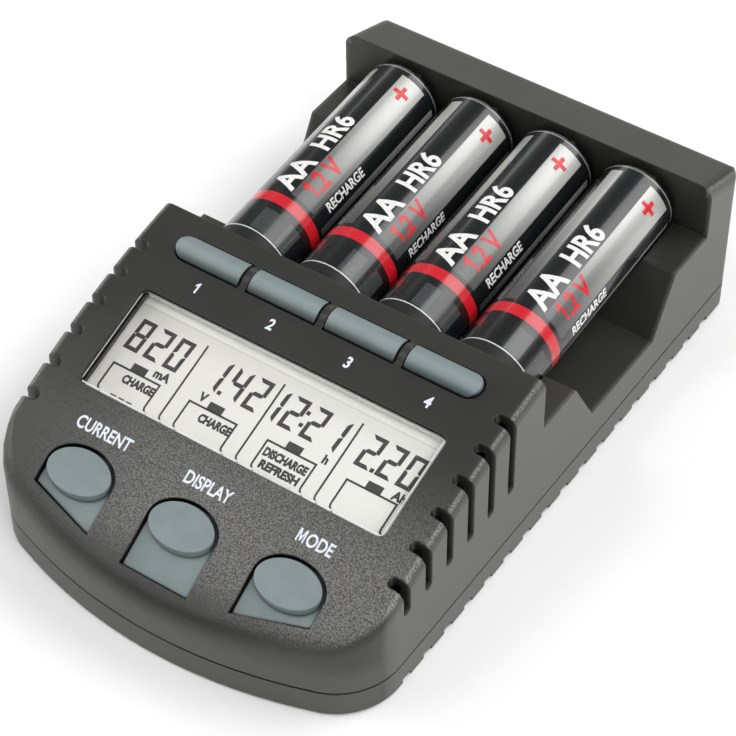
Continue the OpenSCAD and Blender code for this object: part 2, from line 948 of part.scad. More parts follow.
// Sliding contact: a disc with a dome on a stem, and a foot below the bay's floor
module negative_slider(i) {
    dome_r = (pow(dome_d / 2, 2) + pow(dome_h, 2)) / (2 * dome_h);
    color(metal_color)
        translate([bay_x(i), slider_face, 0]) {
            translate([0, 0, negative_z])
                rotate([90, 0, 0])
                    cylinder(d = slider_d, h = slider_t);
            intersection() {
                translate([0, dome_h - dome_r, negative_z])
                    sphere(dome_r);
                translate([-dome_d, -slider_t / 2, negative_z - dome_d])
                    cube(2 * dome_d);
            }
            translate([-slider_stem_w / 2, -slider_t, slider_foot_z])
                cube([slider_stem_w, slider_t, negative_z - slider_foot_z]);
            translate([-slider_d / 4, -slider_t, slider_foot_z])
                cube([slider_d / 2, slider_foot_l, slider_foot_h]);
        }
}

// Points of one ring of the spring's wire, at angle a along the coil
function spring_ring(a, sides) =
    let (
        r = (spring_d - wire_d) / 2,
        along = wire_d / 2 + (spring_len - wire_d) * a / (360 * spring_turns)
    )
    [for (k = [0 : sides - 1])
        let (b = 360 * k / sides, rr = r + wire_d / 2 * cos(b))
            [rr * cos(a), along + wire_d / 2 * sin(b), rr * sin(a)]];

module slider_spring(i) {
    sides = 6;
    steps = 10 * spring_turns;
    points = [for (n = [0 : steps]) each spring_ring(360 * spring_turns * n / steps, sides)];
    sides_faces = [for (n = [0 : steps - 1], k = [0 : sides - 1])
        let (a = n * sides + k, b = n * sides + (k + 1) % sides)
            each [[a, b, b + sides], [a, b + sides, a + sides]]];
    first = [for (k = [sides - 1 : -1 : 0]) k];
    last = [for (k = [0 : sides - 1]) steps * sides + k];
    color(metal_color)
        translate([bay_x(i), stop_y, spring_z])
            polyhedron(points = points, faces = concat(sides_faces, [first, last]));
}

// Cell: a sleeved can with a positive button
module cell(i) {
    shoulder_r = 0.8;
    rim_r = 0.5;
    color("#8d8f8b")
        on_cell(i)
            rotate_extrude() {
                square([button_d / 2, button_h + shoulder_r]);
                translate([0, button_h])
                    square([cell_r - shoulder_r, cell_l - button_h]);
                translate([0, button_h + shoulder_r])
                    square([cell_r - rim_r, cell_l - button_h - shoulder_r]);
                translate([0, button_h + shoulder_r])
                    square([cell_r, cell_l - button_h - shoulder_r - rim_r]);
                translate([cell_r - shoulder_r, button_h + shoulder_r])
                    circle(shoulder_r);
                translate([cell_r - rim_r, cell_l - rim_r])
                    circle(rim_r);
            }
}

module main_board() {
    color(board_color)
        translate([0, 0, main_board_z])
            linear_extrude(main_board_t) {
                translate([-main_half_w, main_front])
                    square([2 * main_half_w, main_neck_y - main_front]);
                translate([-main_neck_half_w, main_front])
                    square([2 * main_neck_half_w, main_rear - main_front]);
            }
}

// Flat link that stands between the two boards
module board_link() {
    color("#d8d3c4")
        difference() {
            translate([-link_w / 2, link_y, board_top])
                cube([link_w, link_t, display_z]);
            on_panel(0, 0, -board_depth - display_board_t)
                translate([-body_w / 2, -body_w / 2, 0])
                    cube([body_w, body_w, far]);
        }
}

module on_main_board(x, from_bay) {
    translate([x, bay_y0 + from_bay, board_top])
        children();
}

module controller_chip() {
    color(chip_color)
        on_main_board(-chip_side / 2, bay_l / 2 - chip_side)
            cube([chip_side, chip_side, chip_h]);
}

module power_transistors() {
    color(chip_color)
        for (i = [1 : 4])
            on_main_board(bay_x(i) - transistor_w / 2, bay_l - rear_ledge - ramp_run)
                cube([transistor_w, transistor_l, transistor_h]);
}

module power_coils() {
    color("#4b4f55")
        for (side = [-1, 1])
            on_main_board(side * bay_pitch, bay_l / 2)
                cylinder(d = coil_d, h = coil_h);
}

module capacitors() {
    color("#23262b")
        for (side = [-1, 1])
            translate([side * bay_pitch, capacitor_y, board_top])
                cylinder(d = capacitor_d, h = capacitor_h);
}

module temperature_sensors() {
    color("#7d5a3c")
        for (i = [1 : 4])
            on_main_board(bay_x(i), front_ledge + ramp_run)
                cylinder(d = sensor_d, h = sensor_h);
}

// Power inlet: a socket with a centre pin, its collar in the rear wall
module power_inlet() {
    face_y = rear_y - wall - slack;
    collar_y = rear_y - 0.2;
    color(chip_color)
        difference() {
            union() {
                translate([-inlet_w / 2, face_y - inlet_l, board_top])
                    cube([inlet_w, inlet_l, inlet_z + inlet_w / 2 - board_top]);
                translate([0, collar_y, inlet_z])
                    rotate([90, 0, 0])
                        cylinder(d = inlet_collar_d, h = wall + overcut);
            }
            translate([0, collar_y + overcut, inlet_z])
                rotate([90, 0, 0])
                    difference() {
                        cylinder(d = inlet_bore, h = inlet_bore_l + overcut);
                        translate([0, 0, 2 * overcut])
                            cylinder(d = inlet_pin, h = inlet_bore_l);
                    }
        }
}

module case_screws() {
    color(metal_color)
        for (side = [-1, 1], y = [post_front_y, post_rear_y])
            translate([side * post_x, y, screw_seat_z]) {
                translate([0, 0, -screw_head_h])
                    cylinder(d = screw_head_d, h = screw_head_h);
                cylinder(d = screw_d, h = screw_len);
            }
}

module rubber_feet() {
    color("#1d1d1d")
        foot_places()
            cylinder(d = foot_d, h = base_z + foot_sink);
}

upper_casing();
lower_casing();
display_window();
lcd_panel();
lcd_reflector();
lcd_frame();
contact_strips();
display_board();
key_switches();
display_board_screws();
current_key();
display_key();
mode_key();
slot_key(1);  // slot_key_1
slot_key(2);  // slot_key_2
slot_key(3);  // slot_key_3
slot_key(4);  // slot_key_4
positive_contact(1);  // positive_contact_1
positive_contact(2);  // positive_contact_2
positive_contact(3);  // positive_contact_3
positive_contact(4);  // positive_contact_4
negative_slider(1);  // negative_slider_1
negative_slider(2);  // negative_slider_2
negative_slider(3);  // negative_slider_3
negative_slider(4);  // negative_slider_4
slider_spring(1);  // slider_spring_1
slider_spring(2);  // slider_spring_2
slider_spring(3);  // slider_spring_3
slider_spring(4);  // slider_spring_4
cell(1);  // cell_1
cell(2);  // cell_2
cell(3);  // cell_3
cell(4);  // cell_4
main_board();
board_link();
controller_chip();
power_transistors();
power_coils();
capacitors();
temperature_sensors();
power_inlet();
case_screws();
rubber_feet();
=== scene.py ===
"""Looks of a desktop charger for AA cells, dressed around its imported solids.

Names ending in _MM are lengths in millimetres, and so are the places in the finishes and prints.
Everything that reaches Blender is in metres. On the panel, x runs across, v along the slope to the
rear, and w out of the plane that touches the curved panel at the display's middle.
"""
import math
from functools import reduce

import bmesh
import bpy
from mathutils import Matrix, Vector


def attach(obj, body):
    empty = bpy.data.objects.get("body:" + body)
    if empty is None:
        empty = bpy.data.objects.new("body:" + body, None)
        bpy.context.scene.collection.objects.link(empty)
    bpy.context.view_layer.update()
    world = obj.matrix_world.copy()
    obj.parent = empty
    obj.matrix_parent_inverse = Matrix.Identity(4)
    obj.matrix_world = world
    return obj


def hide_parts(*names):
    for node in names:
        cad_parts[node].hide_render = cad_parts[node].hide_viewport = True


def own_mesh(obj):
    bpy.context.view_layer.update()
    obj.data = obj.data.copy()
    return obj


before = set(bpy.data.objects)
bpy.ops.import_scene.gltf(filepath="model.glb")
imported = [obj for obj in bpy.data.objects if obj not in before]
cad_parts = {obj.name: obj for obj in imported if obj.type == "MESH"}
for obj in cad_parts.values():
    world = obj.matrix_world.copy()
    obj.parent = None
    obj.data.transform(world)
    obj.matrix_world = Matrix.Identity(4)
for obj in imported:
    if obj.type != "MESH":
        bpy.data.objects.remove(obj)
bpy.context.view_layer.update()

MM = 0.001
BODY = "charger"
SLOTS = (1, 2, 3, 4)

# The panel
DISPLAY_MIDDLE_MM = Vector((0, -28.85, 28.2))
PANEL_TILT = math.radians(18.6)
PANEL_R_MM = 138
PANEL_ALONG = Vector((0, math.cos(PANEL_TILT), math.sin(PANEL_TILT)))
PANEL_OUT = Vector((0, -math.sin(PANEL_TILT), math.cos(PANEL_TILT)))

# The display below its window
LCD_DEPTH_MM = 3.6
LCD_BAND_MM = 8.1
WINDOW_RECESS_MM = 0.9
WINDOW_W_MM = 59.7
WINDOW_L_MM = 19.3

# The cells in their bay, and what is printed around them, measured from the positive end
CELL_XS_MM = (-24, -8, 8, 24)
CELL_R_MM = 7.2
CELL_TIP_Y_MM = 49.889
CELL_TIP_Z_MM = 27
CELL_TILT = math.radians(4.4)
SLEEVE_TURNS = (-6, 10, -2, 14)
SLEEVE_START_MM = 1.75
SLEEVE_END_MM = 47.75
RING_ALONG_MM = 38.4
RING_W_MM = 2.3
SILVER_ANGLES = ((16, 58), (-48, -28), (84, 96))
BLOCK_ANGLES = ((2, 26), (44, 66))
BLOCK_ALONG_MM = (42.2, 47.2)

# Where the casing's finish, its painted sheen, painted glints and walls painted paler as lit change:
# from no effect to full effect
PANEL_SKIN_MM = (-0.9, -0.2)
SHEEN_X_MM = (-34, -4)
SHEEN_FRONT_MM = (-34, -25)
SHEEN_REAR_MM = (-18, 7)
SIDE_WALL_X_MM = (36.6, 37.3)
FRONT_WALL_Y_MM = (-50, -46)
FRONT_WALL_Z_MM = (8, 13)
RIM_GLINT_X_MM = (36.3, 36.9)
BLOCK_REAR_Y_MM = (57, 58.4)

# Where the slot keys' painted shade and painted highlight lie along the slope
SLOT_KEY_REAR_SHADE_MM = (19.7, 21.6)
SLOT_KEY_CREST_HIGHLIGHT_MM = (19.3, 19.8)
SLOT_KEY_FRONT_SHADE_MM = (10, 17.9)

# Prints stand this far off the surface that carries them
PRINT_LIFT_MM = 0.02

# Sockets of the colour Mix node, which share their names with those of its other kinds
MIX_FACTOR, MIX_FIRST, MIX_SECOND, MIX_RESULT = 0, 6, 7, 2


class Value:
    """A shader socket that takes part in Python sums."""

    def __init__(self, nodes, socket):
        self.nodes = nodes
        self.socket = socket

    def math(self, operation, *others):
        inputs = dict(enumerate((self,) + others))
        return self.nodes.node("ShaderNodeMath", {"operation": operation}, inputs)

    def __add__(self, other):
        return self.math("ADD", other)

    __radd__ = __add__

    def __sub__(self, other):
        return self.math("SUBTRACT", other)

    def __rsub__(self, other):
        return (self * -1) + other

    def __mul__(self, other):
        return self.math("MULTIPLY", other)

    __rmul__ = __mul__

    def __truediv__(self, other):
        return self.math("DIVIDE", other)

    def __gt__(self, other):
        return self.math("GREATER_THAN", other)

    def __lt__(self, other):
        return self.math("LESS_THAN", other)

    def __abs__(self):
        return self.math("ABSOLUTE")

    def maximum(self, other):
        return self.math("MAXIMUM", other)

    def ramp(self, low, high):
        """0 at low, 1 at high, smooth between them."""
        settings = {"interpolation_type": "SMOOTHSTEP"}
        inputs = {"Value": self, "From Min": low, "From Max": high}
        return self.nodes.node("ShaderNodeMapRange", settings, inputs)

    def within(self, low, high, soft):
        """1 between low and high, with soft edges."""
        return self.ramp(low - soft, low + soft) * (1 - self.ramp(high - soft, high + soft))

    def within_any(self, spans, soft):
        """1 between the ends of any span, with soft edges."""
        return reduce(Value.maximum, [self.within(low, high, soft) for low, high in spans])


class Nodes:
    """Adds nodes to one tree."""

    def __init__(self, tree):
        self.tree = tree

    def node(self, kind, settings, inputs, output=0):
        """Adds a node: settings first, then the values or links of its sockets."""
        node = self.tree.nodes.new(kind)
        for name, value in settings.items():
            setattr(node, name, value)
        for name, value in inputs.items():
            if isinstance(value, Value):
                self.tree.links.new(value.socket, node.inputs[name])
            else:
                node.inputs[name].default_value = value
        return Value(self, node.outputs[output])

    def axes(self, place):
        """The three coordinates of a place, each as a value."""
        split = self.node("ShaderNodeSeparateXYZ", {}, {"Vector": place}, "X")
        outputs = split.socket.node.outputs
        return [Value(self, outputs[axis]) for axis in "XYZ"]


class Finish(Nodes):
    """A procedural material around one Principled shader."""

    def __init__(self, name, **constants):
        self.material = bpy.data.materials.new(name)
        self.material.use_nodes = True
        super().__init__(self.material.node_tree)
        self.tree.nodes.clear()
        output = self.tree.nodes.new("ShaderNodeOutputMaterial")
        self.shader = self.tree.nodes.new("ShaderNodeBsdfPrincipled")
        self.tree.links.new(self.shader.outputs[0], output.inputs["Surface"])
        for socket, value in constants.items():
            self.shader.inputs[socket.replace("_", " ")].default_value = value
        self.place = self.node("ShaderNodeTexCoord", {}, {}, "Object")

    def feed(self, **links):
        """Links values to the shader's sockets."""
        for socket, value in links.items():
            self.tree.links.new(value.socket, self.shader.inputs[socket.replace("_", " ")])

    def noise(self, size_mm, detail=2.0):
        """Noise with features of about size_mm."""
        inputs = {"Vector": self.place, "Scale": 1 / (size_mm * MM), "Detail": detail}
        return self.node("ShaderNodeTexNoise", {}, inputs)

    def mix(self, factor, first, second):
        """A colour: first where factor is 0, second where it is 1."""
        inputs = {MIX_FACTOR: factor, MIX_FIRST: first, MIX_SECOND: second}
        return self.node("ShaderNodeMix", {"data_type": "RGBA"}, inputs, MIX_RESULT)

    def soft_edges(self, radius_mm):
        """A normal that turns over the edges as a small rounding does."""
        inputs = {"Radius": radius_mm * MM}
        return self.node("ShaderNodeBevel", {"samples": 6}, inputs, "Normal")

    def openness(self, reach_mm):
        """1 on open surfaces, less in gaps and corners of about reach_mm; the finishes paint shade
        with it.
        """
        inputs = {"Distance": reach_mm * MM}
        return self.node("ShaderNodeAmbientOcclusion", {"samples": 8}, inputs, "AO")

    def bump(self, height, depth_mm, strength, **normal):
        """A normal tilted by height, on top of another normal where one is given."""
        inputs = {"Height": height, "Distance": depth_mm * MM, "Strength": strength, **normal}
        return self.node("ShaderNodeBump", {}, inputs, "Normal")

    def mapped(self, origin_mm, tilt):
        """The place in axes that start at origin_mm and are turned about X."""
        inputs = {
            "Vector": self.place,
            "Location": tuple(Vector(origin_mm) * MM),
            "Rotation": (tilt, 0, 0),
        }
        return self.node("ShaderNodeMapping", {"vector_type": "TEXTURE"}, inputs)

    def panel_axes(self):
        """x, v and w of the panel."""
        return [axis / MM for axis in self.axes(self.mapped(DISPLAY_MIDDLE_MM, PANEL_TILT))]


def rgb(red, green, blue):
    """A colour as it is seen, 0 to 255, made linear."""
    def linear(level):
        level /= 255
        return level / 12.92 if level <= 0.04045 else ((level + 0.055) / 1.055) ** 2.4
    return (linear(red), linear(green), linear(blue), 1)


BLACK = rgb(0, 0, 0)
WHITE = rgb(255, 255, 255)


# Finishes

def casing_finish(name):
    """Charcoal plastic with painted light: walls painted paler as lit, a painted sheen in grained
    flecks on the panel's front, painted glints along its side edges, and painted shade in gaps and
    corners.
    """
    finish = Finish(name, Specular_IOR_Level=0.55)
    x, y, z = [axis / MM for axis in finish.axes(finish.place)]
    across, along, out = finish.panel_axes()
    grain = finish.noise(0.24)
    cloud = finish.noise(14)
    panel = (out + along * along / (2 * PANEL_R_MM)).ramp(*PANEL_SKIN_MM)
    # Painted sheen: pale flecks, broken up by the grain, in a band on the panel's front where the
    # sheen falls; the same flecks raise the bump.
    sheen_band = panel * (1 - along.ramp(*SHEEN_REAR_MM)) * along.ramp(*SHEEN_FRONT_MM)
    sheen_band = sheen_band * (0.1 + across.ramp(*SHEEN_X_MM) * 0.9)
    sheen_fleck = (0.02 + grain.ramp(0.33, 0.7) * 0.9) * sheen_band
    # Painted glints along the panel's side edges, broken up by the grain.
    rim_glint = abs(x).within(*RIM_GLINT_X_MM, 0.15) * panel * grain.ramp(0.3, 0.7)
    # Painted light: the side walls, and less the front wall, are painted paler where the lamps and
    # the white floor light them.
    front_wall = (1 - z.ramp(*FRONT_WALL_Z_MM)) * (1 - y.ramp(*FRONT_WALL_Y_MM))
    wall = abs(x).ramp(*SIDE_WALL_X_MM).maximum(front_wall * 0.6)
    colour = finish.mix(cloud * 0.5 + grain * 0.2 + 0.15, rgb(22, 22, 20), rgb(58, 58, 54))
    # Painted light on the walls.
    colour = finish.mix(wall, colour, rgb(80, 81, 76))
    # Painted sheen in pale flecks.
    colour = finish.mix(sheen_fleck, colour, rgb(128, 128, 124))
    # Painted glints on the side edges.
    colour = finish.mix(rim_glint * 0.5, colour, rgb(160, 160, 156))
    # Painted shade: near black in gaps, slots and corners.
    colour = finish.mix(finish.openness(2.6).ramp(0.2, 0.75), rgb(10, 10, 10), colour)
    edges = finish.soft_edges(0.35 + y.ramp(*BLOCK_REAR_Y_MM) * 1.5)
    finish.feed(
        Base_Color=colour,
        Roughness=0.38 + grain * 0.1,
        Normal=finish.bump(sheen_fleck + grain * 0.2, 0.025, 0.6, Normal=edges),
    )
    return finish.material


def key_finish(name):
    """Blue-grey satin plastic, with painted shade in the keys' gaps and on the slot keys' front and
    rear flanks, and a painted highlight along the slot keys' crests.
    """
    finish = Finish(name, Specular_IOR_Level=0.45)
    grain = finish.noise(0.22)
    cloud = finish.noise(4)
    along = finish.panel_axes()[1]
    # Painted shade towards the slot keys' rear edges.
    rear = along.ramp(*SLOT_KEY_REAR_SHADE_MM)
    # Painted highlight along the slot keys' crests.
    crest_highlight = along.within(*SLOT_KEY_CREST_HIGHLIGHT_MM, 0.7)
    # Painted shade on the slot keys' front flanks.
    front = along.within(*SLOT_KEY_FRONT_SHADE_MM, 0.8)
    colour = finish.mix(cloud * 0.6 + grain * 0.4, rgb(108, 121, 123), rgb(141, 153, 154))
    # Painted shade at the rear.
    colour = finish.mix(rear * 0.35, colour, rgb(80, 98, 100))
    # Painted highlight on the crests.
    colour = finish.mix(crest_highlight * 0.3, colour, rgb(168, 181, 183))
    # Painted shade on the front flanks.
    colour = finish.mix(front * 0.85, colour, rgb(38, 45, 46))
    # Painted shade in the keys' gaps.
    colour = finish.mix(finish.openness(0.9).ramp(0.42, 0.92), rgb(22, 27, 28), colour)
    finish.feed(
        Base_Color=colour,
        Roughness=0.36 + grain * 0.14,
        Normal=finish.bump(grain, 0.012, 0.4, Normal=finish.soft_edges(0.3)),
    )
    return finish.material


def lcd_finish(name):
    """Warm white polariser, with painted light that makes it brighter to the right, and a whiter
    band behind the figures.
    """
    finish = Finish(name, Specular_IOR_Level=0.3)
    x, v = finish.panel_axes()[:2]
    glitter = finish.noise(0.3, 3)
    # Painted light: brighter to the right.
    painted_light_to_right = x.ramp(-32, 26) * 0.85 + glitter * 0.15
    band = v.ramp(LCD_BAND_MM + 0.1, LCD_BAND_MM + 0.5)
    band_line = v.within(LCD_BAND_MM, LCD_BAND_MM + 0.1, 0.06)
    colour = finish.mix(painted_light_to_right, rgb(229, 229, 222), rgb(238, 238, 233))
    colour = finish.mix(band, colour, rgb(246, 246, 242))
    colour = finish.mix(band_line * 0.6, colour, rgb(176, 176, 168))
    finish.feed(Base_Color=colour, Roughness=0.4 + glitter * 0.2)
    return finish.material


def window_finish(name):
    """Clear plastic with painted light along its edges: painted highlights, painted shadows and a
    painted shade gradient on its top, walls painted white as lit, sides painted with shade, and side
    flanges painted opaque black as shade.
    """
    finish = Finish(name, Roughness=0.05, Specular_IOR_Level=0.5)
    x, v, w = finish.panel_axes()
    left, right = x + WINDOW_W_MM / 2, WINDOW_W_MM / 2 - x
    front, rear = v + WINDOW_L_MM / 2, WINDOW_L_MM / 2 - v
    aside = abs(x) - WINDOW_W_MM / 2
    soft = 0.05
    # Painted highlights: thin pale lines along the left, front and right edges.
    edge_highlight = left.within(0, 0.3, 0.04).maximum(front.within(0.34, 0.6, soft))
    edge_highlight = edge_highlight.maximum(right.within(0.55, 0.8, soft))
    # Painted highlight: a grey line along the rear edge.
    grey = rear.within(0.18, 0.4, soft)
    # Painted shadows: a dark line at the rear edge and a dark band near the left edge.
    dark = (1 - rear.ramp(0.1, 0.18)).maximum(left.within(0.3, 0.7, soft))
    # Painted shade: dark fading to clear from the left edge.
    shade = 1 - left.ramp(0.5, 1.7)
    # The faces below the top, painted white as lit.
    wall = 1 - (w + WINDOW_RECESS_MM).ramp(-0.06, -0.02)
    # Painted reflection: the rear wall is opaque and white, as it reflects the display.
    rear_wall_reflection = wall * (1 - rear.ramp(0.2, 0.3))
    # Painted shade: the side flanges are opaque.
    flange = aside.ramp(0.1, 0.2)
    # Painted shade on the sides below the top: opaque, dark above and pale near the display.
    side = aside.ramp(-0.25, -0.15) * (1 - w.ramp(-2.1, -1.9)) * (1 - flange)
    side_shade_colour = finish.mix(w.ramp(-3.2, -2.1), rgb(226, 226, 220), rgb(30, 30, 29))
    # Dark where painted shadow and shade lie on the top, white for the painted highlights and the
    # walls painted as lit.
    colour = finish.mix(edge_highlight.maximum(wall), rgb(18, 18, 17), rgb(248, 249, 242))
    # Painted grey highlight along the rear edge.
    colour = finish.mix(grey * (1 - wall), colour, rgb(128, 128, 122))
    # Painted shade: side flanges near black.
    colour = finish.mix(flange, colour, rgb(18, 18, 17))
    # Painted shade on the sides.
    colour = finish.mix(side, colour, side_shade_colour)
    border = (shade * 0.9).maximum(edge_highlight * 0.85).maximum(grey * 0.7).maximum(dark * 0.9)
    opaque = (border * (1 - wall)).maximum(rear_wall_reflection).maximum(flange).maximum(side)
    finish.feed(Base_Color=colour, Alpha=0.03 + opaque * 0.97)
    return finish.material


def plain_finish(name, dark, light, size_mm, roughness, metallic=0.0):
    """A finish of two near tones with a matching grain."""
    finish = Finish(name, Metallic=metallic)
    grain = finish.noise(size_mm, 3)
    finish.feed(
        Base_Color=finish.mix(grain.ramp(0.3, 0.7), rgb(*dark), rgb(*light)),
        Roughness=roughness + (grain - 0.5) * 0.2,
        Normal=finish.bump(grain, 0.01, 0.4),
    )
    return finish.material


def cell_finish(name, x_mm, turn):
    """Printed sleeve: black, with silver panels and a red ring; the panels darken towards the front,
    partly as printed fade and partly as painted shade, and painted highlights lie as thin lines near
    the sleeve's rear end and at its front end.
    """
    finish = Finish(name, Coat_Roughness=0.06, Specular_IOR_Level=0.5)
    origin_mm = (x_mm, CELL_TIP_Y_MM, CELL_TIP_Z_MM)
    across, up, along = finish.axes(finish.mapped(origin_mm, math.pi / 2 + CELL_TILT))
    angle = across.math("ARCTAN2", up) * (180 / math.pi) - turn
    along = along / MM
    panel = angle.within_any(SILVER_ANGLES, 0.6) * along.within(3.4, RING_ALONG_MM - 0.9, 0.05)
    # Darker towards the front: partly a printed fade, partly painted shade.
    fade = along.ramp(6, RING_ALONG_MM)
    block = angle.within_any(BLOCK_ANGLES, 0.6) * along.within(*BLOCK_ALONG_MM, 0.05)
    ring = along.within(RING_ALONG_MM, RING_ALONG_MM + RING_W_MM, 0.04)
    # Painted highlights: a faint line on the ridge near the rear end, a bright line at the front
    # end's rounded edge.
    rear_ridge_highlight = along.within(2.15, 2.4, 0.06) * 0.4
    front_edge_highlight = along.within(SLEEVE_END_MM - 0.25, SLEEVE_END_MM, 0.05)
    metal = along < SLEEVE_START_MM
    foot = along > SLEEVE_END_MM
    streak = finish.noise(0.5)
    silver = finish.mix(fade, rgb(190, 191, 187), rgb(88, 90, 89))
    colour = finish.mix(panel, rgb(20, 22, 23), silver)
    colour = finish.mix(block * 0.8, colour, rgb(70, 74, 74))
    colour = finish.mix(ring, colour, rgb(204, 28, 42))
    # Painted highlight lines.
    colour = finish.mix(rear_ridge_highlight.maximum(front_edge_highlight), colour, rgb(206, 208, 206))
    colour = finish.mix(metal, colour, rgb(205, 205, 200))
    colour = finish.mix(foot, colour, rgb(9, 9, 10))
    finish.feed(
        Base_Color=colour,
        Metallic=(panel * 0.4).maximum(metal),
        Roughness=0.24 + panel * 0.16 + foot * 0.3 + streak * 0.06,
        Coat_Weight=0.5 - metal.maximum(foot) * 0.5,
    )
    return finish.material


# Places on the charger

def on_plane(x_mm, v_mm, w_mm):
    """A point from its x, v and w on the panel."""
    point = DISPLAY_MIDDLE_MM + Vector((x_mm, 0, 0)) + PANEL_ALONG * v_mm + PANEL_OUT * w_mm
    return point * MM


def on_panel(x_mm, v_mm, lift_mm):
    """A point on the curved panel."""
    return on_plane(x_mm, v_mm, math.sqrt(PANEL_R_MM ** 2 - v_mm ** 2) - PANEL_R_MM + lift_mm)


def on_sleeve(x_mm, angle, along_mm, lift_mm):
    """A point on a cell's sleeve, angle from its top towards the right."""
    r = CELL_R_MM + lift_mm
    local = Vector((r * math.sin(angle), r * math.cos(angle), along_mm))
    turned = Matrix.Rotation(math.pi / 2 + CELL_TILT, 3, "X") @ local
    return (turned + Vector((x_mm, CELL_TIP_Y_MM, CELL_TIP_Z_MM))) * MM


# Making pieces

def add_object(name, data):
    item = bpy.data.objects.new(name, data)
    bpy.context.scene.collection.objects.link(item)
    return item


def mesh_of(name, shape):
    """Turns a bmesh into a mesh."""
    mesh = bpy.data.meshes.new(name)
    shape.to_mesh(mesh)
    shape.free()
    return mesh


def add_piece(name, shape, material):
    """Turns a bmesh into a piece of the charger."""
    piece = add_object(name, mesh_of(name, shape))
    piece.data.materials.append(material)
    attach(piece, BODY)


def join_shape(target, shape):
    """Adds a bmesh to another."""
    mesh = mesh_of("part", shape)
    target.from_mesh(mesh)
    bpy.data.meshes.remove(mesh)


def slice_shape(shape, step_mm, reach_mm):
    """Cuts a flat shape across its height, so that it can bend."""
    normal = Vector((0, 1, 0))
    count = int(reach_mm / step_mm)
    for k in range(-count, count + 1):
        geometry = shape.verts[:] + shape.edges[:] + shape.faces[:]
        place = normal * (k * step_mm)
        bmesh.ops.bisect_plane(shape, geom=geometry, plane_co=place, plane_no=normal)


def lay(shape, place):
    """Moves each vertex of a flat shape to its place on the charger."""
    for vert in shape.verts:
        vert.co = place(vert.co.x, vert.co.y)


# Lettering

CAPITAL_SHARE = 0.72
WELD_MM = 1e-4
LETTER_GAP = 0.14
HAND_LETTERS = {
    # Outlines for a height of 1; the font's M breaks when thickened, and its 1 has no flag
    "M": ((0, 0), (0, 1), (0.2, 1), (0.43, 0.42), (0.66, 1), (0.86, 1), (0.86, 0), (0.69, 0),
          (0.69, 0.66), (0.49, 0.08), (0.37, 0.08), (0.17, 0.66), (0.17, 0)),
    "1": ((0.24, 0), (0.24, 0.7), (0.02, 0.58), (0.02, 0.75), (0.28, 1), (0.43, 1), (0.43, 0)),
}


def font_words(shape, text, height_mm, weight):
    """Adds text in the built-in font to a bmesh; weight thickens its strokes."""
    curve = bpy.data.curves.new("words", "FONT")
    curve.body = text
    curve.size = height_mm / CAPITAL_SHARE
    curve.offset = weight * curve.size
    curve.resolution_u = 4
    carrier = add_object("words", curve)
    bpy.context.view_layer.update()
    solved = carrier.evaluated_get(bpy.context.evaluated_depsgraph_get())
    mesh = bpy.data.meshes.new_from_object(solved)
    shape.from_mesh(mesh)
    bpy.data.objects.remove(carrier)
    bpy.data.curves.remove(curve)
    bpy.data.meshes.remove(mesh)
    bmesh.ops.remove_doubles(shape, verts=shape.verts, dist=WELD_MM)


def hand_letter(shape, outline, height_mm):
    """Adds a drawn letter to a bmesh, left of the origin."""
    reach = max(x for x, y in outline) + LETTER_GAP
    corners = [shape.verts.new(((x - reach) * height_mm, y * height_mm, 0)) for x, y in outline]
    letter = shape.faces.new(corners[::-1])
    letter.normal_update()
    bmesh.ops.triangulate(shape, faces=[letter])


def words(text, height_mm, squeeze, weight):
    """A flat bmesh of text, centred on the origin; a first letter may be drawn from a listed
    outline.
    """
    outline = HAND_LETTERS.get(text[0])
    font_text = text[1:] if outline else text
    shape = bmesh.new()
    if font_text:
        font_words(shape, font_text, height_mm, weight)
    if outline:
        hand_letter(shape, outline, height_mm)
    low = [min(vert.co[axis] for vert in shape.verts) for axis in (0, 1)]
    high = [max(vert.co[axis] for vert in shape.verts) for axis in (0, 1)]
    middle = Vector(((low[0] + high[0]) / 2, (low[1] + high[1]) / 2, 0))
    bmesh.ops.translate(shape, vec=-middle, verts=shape.verts)
    bmesh.ops.scale(shape, vec=(squeeze, 1, 1), verts=shape.verts)
    return shape


def add_words(shape, text, height_mm, squeeze, weight, x, v):
    """Adds text to a bmesh, centred on x, v."""
    label = words(text, height_mm, squeeze, weight)
    bmesh.ops.translate(label, vec=(x, v, 0), verts=label.verts)
    join_shape(shape, label)


# Display

SEGMENTS = {"0": "abcdef", "1": "bc", "2": "abged", "4": "fgbc", "8": "abcdefg"}
DIGIT_W_MM = 2.85
DIGIT_H_MM = 6.0
DIGIT_V_MM = -0.1
SEGMENT_MM = 0.74
SEGMENT_GAP_MM = 0.008
SIDE_GAP_MM = 0.064
FIGURE_SLANT = 0.06

FIGURE_GROUPS = (
    # figures, their places, unit, its place, left end and height of the frame below
    ("820", (-26.8, -22.85, -18.9), "mA", (-19.2, -1.55), -28.0, -3.15),
    ("142", (-11.1, -7.0, -3.1), "V", (-10.9, -1.55), -12.6, -3.1),
    ("1221", (0.3, 4.1, 8.25, 12.15), "h", (13.1, -1.55), 2.8, -3.0),
    ("220", (18.85, 22.8, 26.65), "Ah", (27.0, -1.6), 17.95, -2.8),
)
UNIT_MM, UNIT_SQUEEZE, UNIT_WEIGHT = 1.55, 0.95, 0.05
NOTES = (
    # text, squeeze, place
    ("CHARGE", 0.78, -21.85, -4.78),
    ("CHARGE", 0.78, -6.45, -4.8),
    ("DISCHARGE", 0.76, 7.5, -4.8),
    ("REFRESH", 0.97, 7.6, -6.95),
)
NOTE_MM, NOTE_WEIGHT = 1.45, 0.06
POINTS = ((-9.05, 0.3), (20.62, 0.3), (6.1, 1.7), (6.1, 4.0))
POINT_MM = 0.72
